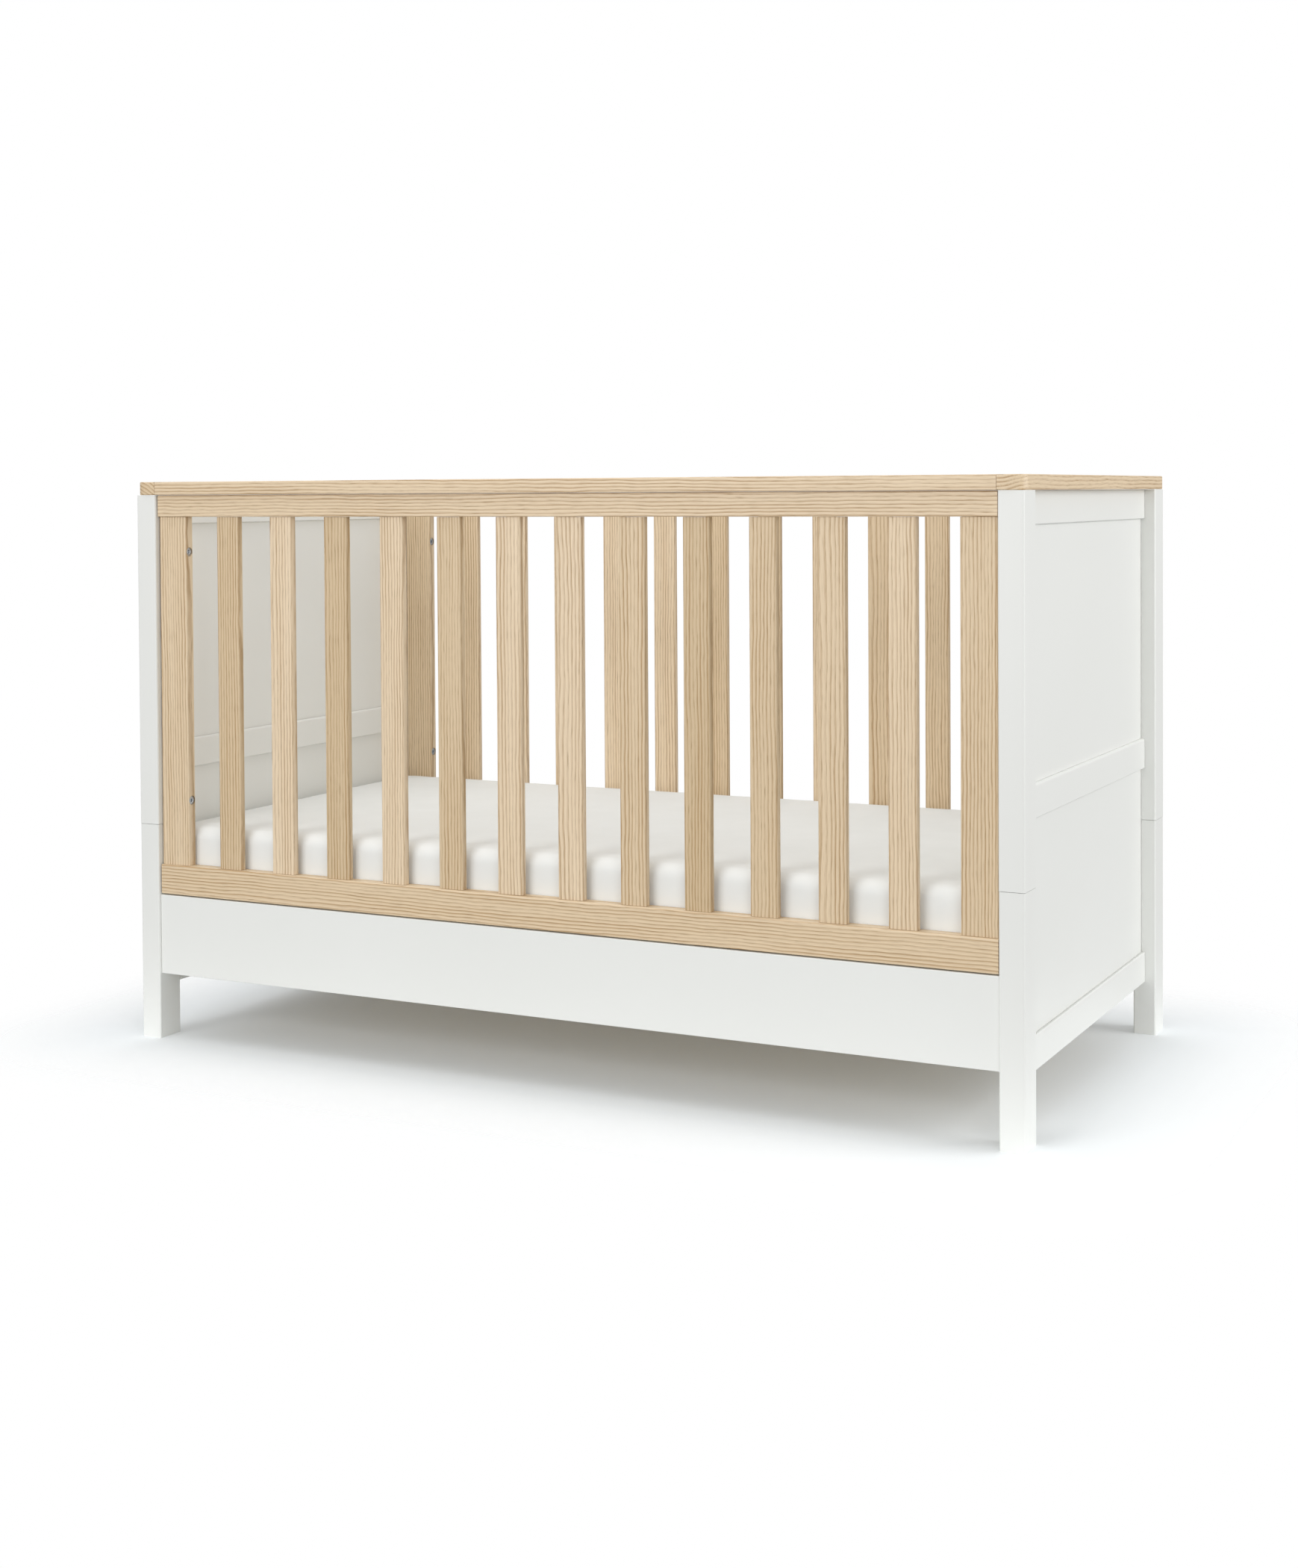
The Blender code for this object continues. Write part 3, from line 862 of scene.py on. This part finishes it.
def woven_tape():
    """Polypropylene webbing: off-white flat yarns in a plain weave, with a dull plastic sheen."""
    material, tree = new_material("woven_tape")
    place = add_node(tree, "ShaderNodeTexCoord").outputs["Object"]
    yarn = {"Vector": place, "Scale": WAVE_PERIOD / YARN}
    along = add_node(tree, "ShaderNodeTexWave", yarn, bands_direction="X")
    across = add_node(tree, "ShaderNodeTexWave", yarn, bands_direction="Y")
    weave = add_node(
        tree,
        "ShaderNodeMath",
        {0: along.outputs["Fac"], 1: across.outputs["Fac"]},
        operation="MULTIPLY",
    )
    relief = add_node(
        tree, "ShaderNodeBump", {"Height": weave.outputs[0], "Strength": 0.6, "Distance": 0.0003}
    )
    tint = add_node(
        tree,
        "ShaderNodeMix",
        {"Factor": weave.outputs[0], "A": linear("#c9c5bb"), "B": linear("#e6e3da")},
        data_type="RGBA",
    )
    shader = add_node(
        tree,
        "ShaderNodeBsdfPrincipled",
        {
            "Base Color": tint.outputs["Result"],
            "Roughness": 0.5,
            "Normal": relief.outputs["Normal"],
        },
    )
    add_node(tree, "ShaderNodeOutputMaterial", {"Surface": shader.outputs["BSDF"]})
    return material


tape_shape = bmesh.new()
tape_top = deck_high.z - BASE_SLAT_DEPTH - 0.0001
tape_steps = TAPE_STEPS * (BASE_SLATS - 1)
tape_long = deck_high.x - deck_low.x - 2 * TAPE_END_IN
for sign in (-1, 1):
    edges = []
    for step in range(tape_steps + 1):
        share = step / tape_steps
        x = deck_low.x + TAPE_END_IN + share * tape_long
        hang = math.sin(math.pi * (share * (BASE_SLATS - 1) % 1)) ** 2
        z = tape_top - TAPE_DEPTH / 2 - TAPE_SAG * hang
        y = sign * TAPE_Y
        pair = [tape_shape.verts.new((x, y + side * TAPE_WIDTH / 2, z)) for side in (-1, 1)]
        if edges:
            tape_shape.faces.new((*edges, *reversed(pair)))
        edges = pair
tapes = new_piece("base_slat_tapes", tape_shape, woven_tape())
thick = tapes.modifiers.new("thick", "SOLIDIFY")
thick.thickness = TAPE_DEPTH
thick.offset = 0
smooth(settled(tapes))
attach(tapes, "mattress_base")


# ---- Base brackets -----------------------------------------------------------------------------
# Four zinc-plated steel angles screwed under the base's corners, with a bolt from each into one of
# the three threaded inserts in its post, which set the height of the base.

BRACKET_THICK = 0.0018
BRACKET_FOOT = 0.030
BRACKET_DROP = 0.040
BRACKET_WIDTH = 0.018
BRACKET_BEND = 0.003
BRACKET_OFF_POST = 0.0008
BRACKET_OFF_BASE = 0.0002
BRACKET_IN = 0.001  # from the side of the base
SCREW_UP = 0.012  # from the bracket's lower end
SCREW_OFF = 0.0022  # its head's middle, from the bracket
bracket_shape = bmesh.new()
bracket_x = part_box("upper_post_front_right")[0].x - BRACKET_OFF_POST
bracket_y = frame_high.y - BRACKET_IN - BRACKET_WIDTH / 2
button_head = [
    (0, -0.0021),
    (0.0058, -0.0021),
    (0.006, -0.0015),
    (0.0045, 0.0008),
    (hexagon(HEXAGON_APOTHEM), 0.0014),
    (hexagon(HEXAGON_APOTHEM), -0.0005),
    (0, -0.0008),
]


def angle_plate(shape, sign_x, middle_y):
    """A bent plate: its foot lies under the base, and its leg hangs beside the post."""
    top = frame_low.z - BRACKET_OFF_BASE
    thick, bend = BRACKET_THICK, BRACKET_BEND
    outer = [(bracket_x - BRACKET_FOOT, top)]
    inner = [(bracket_x - BRACKET_FOOT, top - thick)]
    for step in range(7):
        angle = math.pi / 2 * step / 6
        spot = (bracket_x - bend, top - bend)
        outer.append((spot[0] + bend * math.sin(angle), spot[1] + bend * math.cos(angle)))
        less = bend - thick
        inner.append((spot[0] + less * math.sin(angle), spot[1] + less * math.cos(angle)))
    outer.append((bracket_x, top - BRACKET_DROP))
    inner.append((bracket_x - thick, top - BRACKET_DROP))
    outline = outer + inner[::-1]
    edges = [middle_y - BRACKET_WIDTH / 2, middle_y + BRACKET_WIDTH / 2]
    near, far = ([shape.verts.new((sign_x * x, y, z)) for x, z in outline] for y in edges)
    shape.faces.new(near)
    shape.faces.new(far[::-1])
    for i in range(len(outline)):
        after = (i + 1) % len(outline)
        shape.faces.new((near[i], far[i], far[after], near[after]))


for sign_x in (-1, 1):
    for sign_y in (-1, 1):
        angle_plate(bracket_shape, sign_x, sign_y * bracket_y)
        quarter = Matrix.Rotation(-sign_x * math.pi / 2, 4, "Y")
        spot = Matrix.Translation(
            (
                sign_x * (bracket_x - BRACKET_THICK - SCREW_OFF),
                sign_y * bracket_y,
                frame_low.z - BRACKET_DROP + SCREW_UP,
            )
        )
        turned(button_head, bracket_shape, spot @ quarter)
bmesh.ops.recalc_face_normals(bracket_shape, faces=bracket_shape.faces)
brackets = new_piece("base_brackets", bracket_shape, ZINC)
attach(brackets, "mattress_base")


# ---- Mattress ----------------------------------------------------------------------------------
# A polyester-fibre core 100 mm thick, with soft round edges, in a white knitted ticking. The
# ticking is plain on top and stitched in shallow diamonds underneath. It rests loose on the base.

LOOSE = 0.0015  # the room that the sheet takes
MATTRESS_EDGE = 0.019
QUILT = 0.070  # across a diamond
QUILT_DEPTH = 0.0012
RIB = 0.002
TOP_STEP = 0.014
SIDE_STEP = 0.012
EDGE_STEPS = 6
mattress_low, mattress_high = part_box("mattress")
core_low, core_high = mattress_low.z + LOOSE, mattress_high.z - LOOSE
core_middle = (core_low + core_high) / 2
flat_half_x = (mattress_high.x - mattress_low.x) / 2 - LOOSE - MATTRESS_EDGE
flat_half_y = (mattress_high.y - mattress_low.y) / 2 - LOOSE - MATTRESS_EDGE
COUNT_X = round(2 * flat_half_x / TOP_STEP)
COUNT_Y = round(2 * flat_half_y / TOP_STEP)


def loop_round(outset, height):
    """A loop this far outside the flat part's edge, round its corners, or inside it if negative."""
    radius = max(outset, 0)
    half_x = flat_half_x + min(outset, 0)
    half_y = flat_half_y + min(outset, 0)
    spots = []
    turns = [(1, -1, COUNT_Y), (1, 1, COUNT_X), (-1, 1, COUNT_Y), (-1, -1, COUNT_X)]
    for turn, (sign_x, sign_y, count) in enumerate(turns):
        middle = Vector((sign_x * half_x, sign_y * half_y, height))
        for step in range(EDGE_STEPS + 1):
            angle = math.pi / 2 * (turn - 1 + step / EDGE_STEPS)
            spots.append(middle + radius * Vector((math.cos(angle), math.sin(angle), 0)))
        after_x, after_y, _ = turns[(turn + 1) % 4]
        along = Vector(((after_x - sign_x) * half_x, (after_y - sign_y) * half_y, 0))
        start = spots[-1]
        spots += [start + along * step / count for step in range(1, count)]
    return spots


def wrapped(profile):
    """A cover over the mattress: a gridded flat top, then loops that follow a profile round its edge.

    The profile lists how far outside the top's flat part each loop is, and its height.
    """
    shape = bmesh.new()
    grid = []
    for i in range(COUNT_X + 1):
        x = flat_half_x * (2 * i / COUNT_X - 1)
        across = [flat_half_y * (2 * j / COUNT_Y - 1) for j in range(COUNT_Y + 1)]
        grid.append([shape.verts.new((x, y, profile[0][1])) for y in across])
    for i in range(COUNT_X):
        for j in range(COUNT_Y):
            shape.faces.new((grid[i][j], grid[i + 1][j], grid[i + 1][j + 1], grid[i][j + 1]))
    right = grid[COUNT_X]
    rear = [column[COUNT_Y] for column in grid[::-1]]
    left = grid[0][::-1]
    front = [column[0] for column in grid]
    ring = []
    for run in (right, rear, left, front):
        ring += [run[0]] * EDGE_STEPS + run[:-1]
    for outset, height in profile[1:]:
        loop = [shape.verts.new(spot) for spot in loop_round(outset, height)]
        for i, vertex in enumerate(loop):
            after = (i + 1) % len(loop)
            shape.faces.new(dict.fromkeys((ring[i], vertex, loop[after], ring[after])))
        ring = loop
    bmesh.ops.remove_doubles(shape, verts=shape.verts, dist=1e-6)
    return shape


def edge_profile(top, bottom, tuck):
    """How a cover runs over the edge: round the top, down, round the bottom and in underneath."""
    radius = MATTRESS_EDGE
    quarter = [math.pi / 2 * step / EDGE_STEPS for step in range(EDGE_STEPS + 1)]
    straight = top - bottom - 2 * radius
    down = round(straight / SIDE_STEP)
    under = round(tuck / SIDE_STEP)
    profile = [(radius * math.sin(a), top - radius + radius * math.cos(a)) for a in quarter]
    profile += [(radius, top - radius - straight * step / down) for step in range(1, down + 1)]
    profile += [
        (radius * math.cos(a), bottom + radius - radius * math.sin(a)) for a in quarter[1:]
    ]
    profile += [(-tuck * step / under, bottom) for step in range(1, under + 1)]
    return profile


def knitted_ticking():
    """Knitted polyester ticking: plain white, with a fine raised rib and no shine."""
    material, tree = new_material("knitted_ticking")
    place = add_node(tree, "ShaderNodeTexCoord").outputs["Object"]
    rib = add_node(
        tree, "ShaderNodeTexWave", {"Vector": place, "Scale": WAVE_PERIOD / RIB, "Distortion": 0.4}
    )
    relief = add_node(
        tree, "ShaderNodeBump", {"Height": rib.outputs["Fac"], "Strength": 0.3, "Distance": 0.0003}
    )
    shader = add_node(
        tree,
        "ShaderNodeBsdfPrincipled",
        {
            "Base Color": linear("#e9e8e3"),
            "Roughness": 0.9,
            "Normal": relief.outputs["Normal"],
        },
    )
    add_node(tree, "ShaderNodeOutputMaterial", {"Surface": shader.outputs["BSDF"]})
    return material


# The upper half is made, then mirrored, so that the underside is gridded like the top.
half_profile = [
    (out, height)
    for out, height in edge_profile(core_high, core_low, 0)
    if height > core_middle + 0.005
]
core_shape = wrapped(half_profile + [(MATTRESS_EDGE, core_middle)])
bmesh.ops.mirror(
    core_shape,
    geom=core_shape.verts[:] + core_shape.edges[:] + core_shape.faces[:],
    matrix=Matrix.Translation((0, 0, -core_middle)),
    merge_dist=1e-5,
    axis="Z",
)
bmesh.ops.recalc_face_normals(core_shape, faces=core_shape.faces)
for vertex in core_shape.verts:
    if vertex.co.z < core_low + 1e-5:
        x, y = vertex.co.x, vertex.co.y
        diamond = abs(math.sin(math.pi * (x + y) / QUILT) * math.sin(math.pi * (x - y) / QUILT))
        vertex.co.z += QUILT_DEPTH * (1 - diamond ** 0.5)
core = new_piece("mattress_core", core_shape, knitted_ticking())
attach(core, "mattress_body")
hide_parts("mattress")


# ---- Fitted sheet ------------------------------------------------------------------------------
# A white cotton jersey sheet, cut with darted corners and an elastic hem that holds it under the
# mattress. The stretch leaves shallow ripples on top and short gathers down from each corner.

SHEET_TUCK = 0.065
SHEET_OFF = 0.0008
SHEET_SWELL = 0.0006  # the unevenness that the cloth settles from
SLUB = 0.0625
WALE = 0.0014  # a real wale is about 0.8 mm, drawn wider so that it shows
NAP = 1 / 700
SHEET_DRAPE_FRAMES = 18
MOST_PUFF = 0.0008  # past the mattress, so that the sheet stays clear of the rails
SHEET_SPARE = -0.012  # cloth's shrink, where less than 0 grows the sheet past the mattress


def cotton_jersey():
    """Washed cotton jersey: white with a trace of warmth, matt, with a fine upright knit."""
    material, tree = new_material("cotton_jersey")
    place = add_node(tree, "ShaderNodeTexCoord").outputs["Object"]
    slub = add_node(tree, "ShaderNodeTexNoise", {"Vector": place, "Scale": 1 / SLUB, "Detail": 4})
    tint = add_node(
        tree,
        "ShaderNodeMix",
        {"Factor": slub.outputs["Fac"], "A": linear("#eaecea"), "B": linear("#f1f3f2")},
        data_type="RGBA",
    )
    wale = add_node(
        tree, "ShaderNodeTexWave", {"Vector": place, "Scale": WAVE_PERIOD / WALE, "Distortion": 0.6}
    )
    nap = add_node(tree, "ShaderNodeTexNoise", {"Vector": place, "Scale": 1 / NAP, "Detail": 2})
    knit = add_node(
        tree,
        "ShaderNodeMath",
        {0: wale.outputs["Fac"], 1: nap.outputs["Fac"]},
        operation="ADD",
    )
    relief = add_node(
        tree, "ShaderNodeBump", {"Height": knit.outputs[0], "Strength": 0.25, "Distance": 0.0002}
    )
    shader = add_node(
        tree,
        "ShaderNodeBsdfPrincipled",
        {
            "Base Color": tint.outputs["Result"],
            "Roughness": 0.88,
            "Normal": relief.outputs["Normal"],
            "Sheen Weight": 0.12,
            "Sheen Roughness": 0.5,
        },
    )
    add_node(tree, "ShaderNodeOutputMaterial", {"Surface": shader.outputs["BSDF"]})
    return material


def draped(piece, over, pinned):
    """Let a cloth settle over another piece, with some of its points held, and keep the result."""
    over.modifiers.new("hard", "COLLISION")
    over.collision.thickness_outer = SHEET_OFF
    over.collision.cloth_friction = 8
    held = piece.vertex_groups.new(name="held")
    held.add(pinned, 1.0, "REPLACE")
    cloth = piece.modifiers.new("cloth", "CLOTH")
    cloth.settings.quality = 6
    cloth.settings.mass = 0.18
    cloth.settings.tension_stiffness = 12
    cloth.settings.compression_stiffness = 12
    cloth.settings.shear_stiffness = 4
    cloth.settings.bending_stiffness = 0.15
    cloth.settings.shrink_min = SHEET_SPARE
    cloth.settings.vertex_group_mass = "held"
    cloth.collision_settings.distance_min = SHEET_OFF
    cloth.collision_settings.collision_quality = 3
    cloth.point_cache.frame_end = SHEET_DRAPE_FRAMES
    for step in range(1, SHEET_DRAPE_FRAMES + 1):
        bpy.context.scene.frame_set(step)
    settled(piece)
    bpy.context.scene.frame_set(1)
    over.modifiers.clear()


sheet_profile = edge_profile(core_high + SHEET_OFF, core_low - SHEET_OFF, SHEET_TUCK)
sheet_profile = [(out + SHEET_OFF if i else out, z) for i, (out, z) in enumerate(sheet_profile)]
sheet_shape = wrapped(sheet_profile)
for vertex in sheet_shape.verts:
    swell = noise.noise(Vector((vertex.co.x * 7, vertex.co.y * 11, 3.1)))
    if vertex.co.z > core_high:
        vertex.co.z += SHEET_SWELL * (1 + swell)
sheet_shape.verts.index_update()
rim = [v.index for v in sheet_shape.verts if v.is_boundary]
sheet = new_piece("fitted_sheet", sheet_shape, cotton_jersey())
draped(sheet, core, rim)
for vertex in sheet.data.vertices:
    for axis in (0, 1):
        near, far = mattress_low[axis] - MOST_PUFF, mattress_high[axis] + MOST_PUFF
        vertex.co[axis] = max(near, min(far, vertex.co[axis]))
sheet.data.shade_smooth()
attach(sheet, "mattress_body")


# ---- Floor -------------------------------------------------------------------------------------
# Pale studio paper under the cot, lit a little by itself. It takes the cot's soft shadow, and just
# past the cot it fades out to the white of the room.

FLOOR_HALF = 2.0
FLOOR_FADE = (0.0, 0.34)  # how far from the cot the fade starts and ends
floor_shape = bmesh.new()
bmesh.ops.create_grid(floor_shape, x_segments=1, y_segments=1, size=FLOOR_HALF)
studio, tree = new_material("studio_floor")
floor = new_piece("studio_floor", floor_shape, studio)
place = add_node(tree, "ShaderNodeTexCoord").outputs["Object"]
folded = add_node(tree, "ShaderNodeVectorMath", {0: place}, operation="ABSOLUTE")
past = add_node(
    tree, "ShaderNodeVectorMath", {0: folded.outputs["Vector"], 1: CAD_BOX[1]}, operation="SUBTRACT"
)
outside = add_node(tree, "ShaderNodeVectorMath", {0: past.outputs["Vector"]}, operation="MAXIMUM")
away = add_node(tree, "ShaderNodeVectorMath", {0: outside.outputs["Vector"]}, operation="LENGTH")
fade = add_node(
    tree,
    "ShaderNodeMapRange",
    {"Value": away.outputs["Value"], "From Min": FLOOR_FADE[0], "From Max": FLOOR_FADE[1]},
    interpolation_type="SMOOTHSTEP",
)
paper = add_node(
    tree,
    "ShaderNodeBsdfPrincipled",
    {
        "Base Color": linear("#f7fbfd"),
        "Roughness": 0.8,
        "Emission Color": linear("#ffffff"),
        "Emission Strength": 0.03,
    },
)
clear = add_node(tree, "ShaderNodeBsdfTransparent")
surface = add_node(
    tree,
    "ShaderNodeMixShader",
    {"Fac": fade.outputs["Result"], 1: paper.outputs[0], 2: clear.outputs[0]},
)
add_node(tree, "ShaderNodeOutputMaterial", {"Surface": surface.outputs[0]})


# ---- Light and camera --------------------------------------------------------------------------
# A white room, a large light overhead and four soft ones round the cot: the strongest at the front
# left, two that fill the right end, and a weak one behind. The camera is off the front right corner.

scene = bpy.context.scene
scene.view_settings.view_transform = "Standard"
scene.world = bpy.data.worlds.new("studio")
scene.world.use_nodes = True
tree = scene.world.node_tree
tree.nodes.clear()
facing = add_node(tree, "ShaderNodeTexCoord").outputs["Generated"]
upward = add_node(tree, "ShaderNodeSeparateXYZ", {"Vector": facing}).outputs["Z"]
walls = add_node(
    tree,
    "ShaderNodeMapRange",
    {"Value": upward, "From Min": -0.4, "From Max": 0.3, "To Min": 0.28, "To Max": 0.54},
)
ray = add_node(tree, "ShaderNodeLightPath")
level = add_node(
    tree,
    "ShaderNodeMapRange",
    {"Value": ray.outputs["Is Camera Ray"], "To Min": walls.outputs["Result"], "To Max": 1},
)
sky = add_node(
    tree,
    "ShaderNodeBackground",
    {"Color": linear("#ffffff"), "Strength": level.outputs["Result"]},
)
add_node(tree, "ShaderNodeOutputWorld", {"Surface": sky.outputs["Background"]})


def soft_light(name, place, aim, size, power):
    """A rectangular light that faces its aim, with its power in watts."""
    lamp = bpy.data.lights.new(name, "AREA")
    lamp.shape = "RECTANGLE"
    lamp.size, lamp.size_y = size
    lamp.energy = power
    stand = bpy.data.objects.new(name, lamp)
    stand.location = place
    stand.rotation_euler = (Vector(aim) - Vector(place)).to_track_quat("-Z", "Y").to_euler()
    scene.collection.objects.link(stand)


soft_light("overhead_light", (-0.3, -0.3, 3.3), (0, 0, 0.3), (3, 2.4), 36)
soft_light("front_left_light", (-1.1, -4.1, 1.5), (0, 0, 0.45), (2.4, 1.8), 63)
soft_light("front_right_light", (2.6, -3.2, 1.3), (0.5, 0, 0.45), (1.6, 1.6), 25)
soft_light("right_light", (3.2, 0.4, 1.2), (0.7, 0, 0.45), (1.6, 1.6), 38)
soft_light("rear_light", (-1.6, 3.6, 1.6), (0, 0, 0.45), (2.4, 1.8), 13)

CAMERA_PLACE = (1.5944, -3.1662, 0.8790)
CAMERA_YAW = math.radians(26.781)
CAMERA_PITCH = math.radians(1.327)
CAMERA_ROLL = math.radians(-0.34)
camera_data = bpy.data.cameras.new("camera")
camera_data.sensor_fit = "HORIZONTAL"
camera_data.sensor_width = 36
camera_data.lens = 60.69
camera_data.shift_y = -0.1857
camera = bpy.data.objects.new("camera", camera_data)
camera.matrix_world = (
    Matrix.Translation(CAMERA_PLACE)
    @ Matrix.Rotation(CAMERA_YAW, 4, "Z")
    @ Matrix.Rotation(math.pi / 2 - CAMERA_PITCH, 4, "X")
    @ Matrix.Rotation(CAMERA_ROLL, 4, "Z")
)
scene.collection.objects.link(camera)
scene.camera = camera
